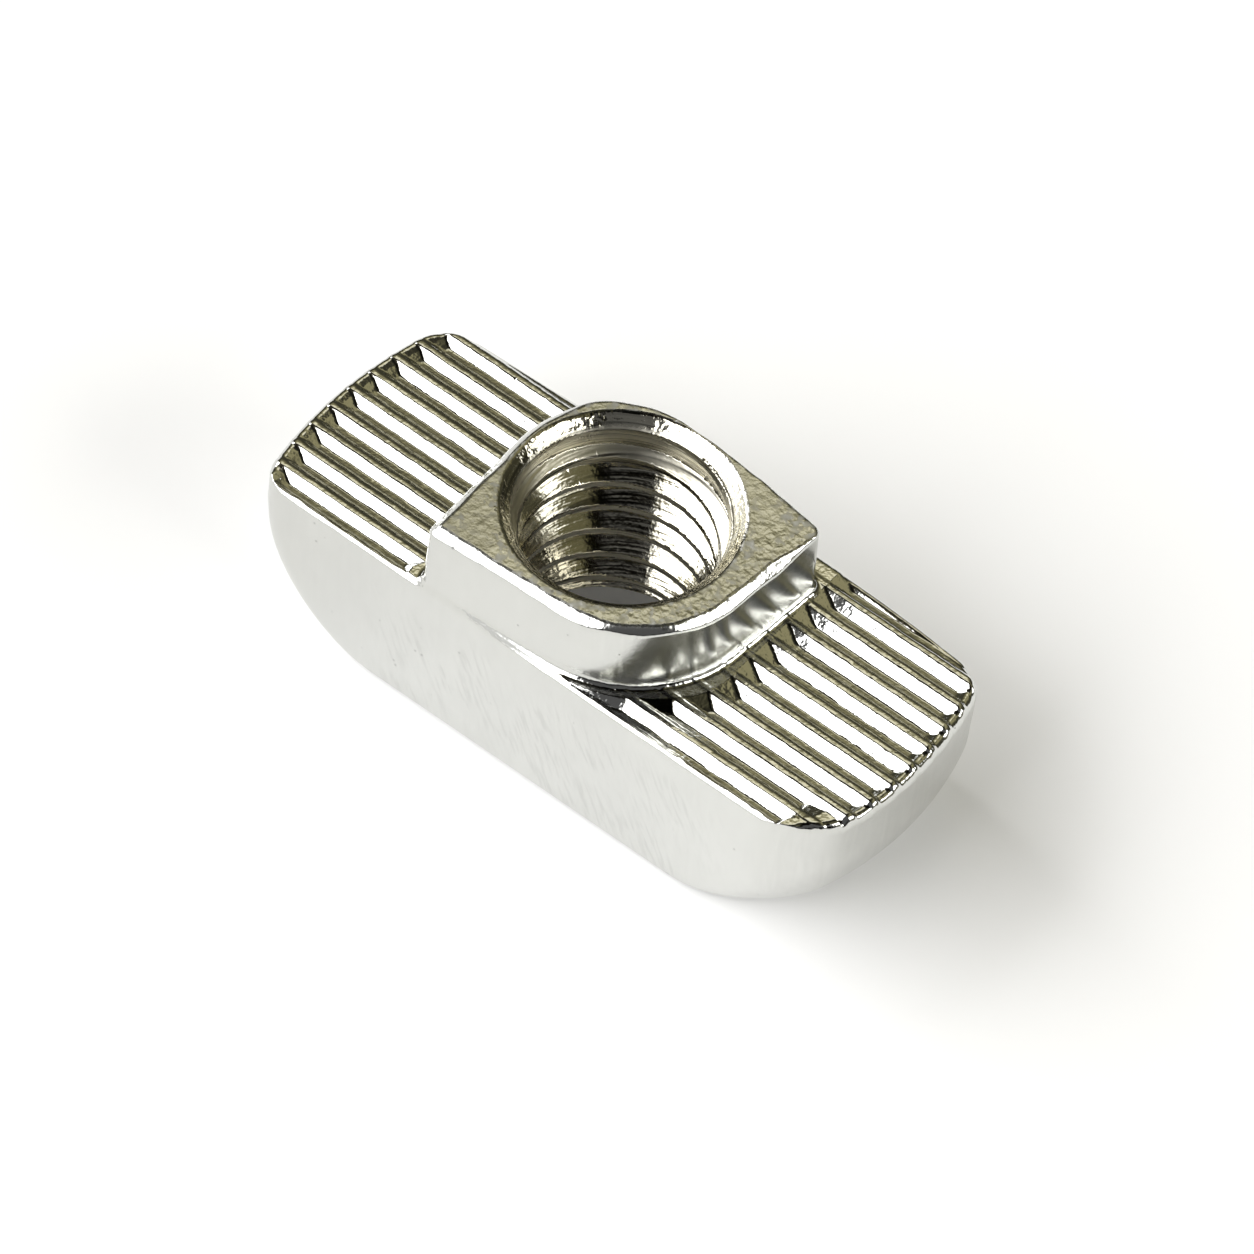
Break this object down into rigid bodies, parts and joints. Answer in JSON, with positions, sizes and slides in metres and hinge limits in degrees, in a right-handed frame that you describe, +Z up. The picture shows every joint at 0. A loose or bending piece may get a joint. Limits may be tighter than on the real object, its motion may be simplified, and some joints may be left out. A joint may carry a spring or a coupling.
{
  "type": "t slot nut",
  "caption": "Quarter-turn T slot nut: a bar-shaped body with serrated wings, a raised neck with two rounded corners, and a countersunk tapped hole through it.",
  "frame": {"origin": "middle of the nut's footprint, on the plane of its flat underside", "axes": "+X along the nut's long way, +Y across it towards the side whose stop corner is on the right, +Z up along the tapped hole, out of its countersunk mouth"},
  "size_m": [0.0192, 0.0078, 0.0074],
  "materials": {
    "nickel_plate": "bright nickel plating on steel, finely pitted"
  },
  "bodies": {
    "root": {"t_nut_body": "nickel_plate"}
  },
  "joints": []
}
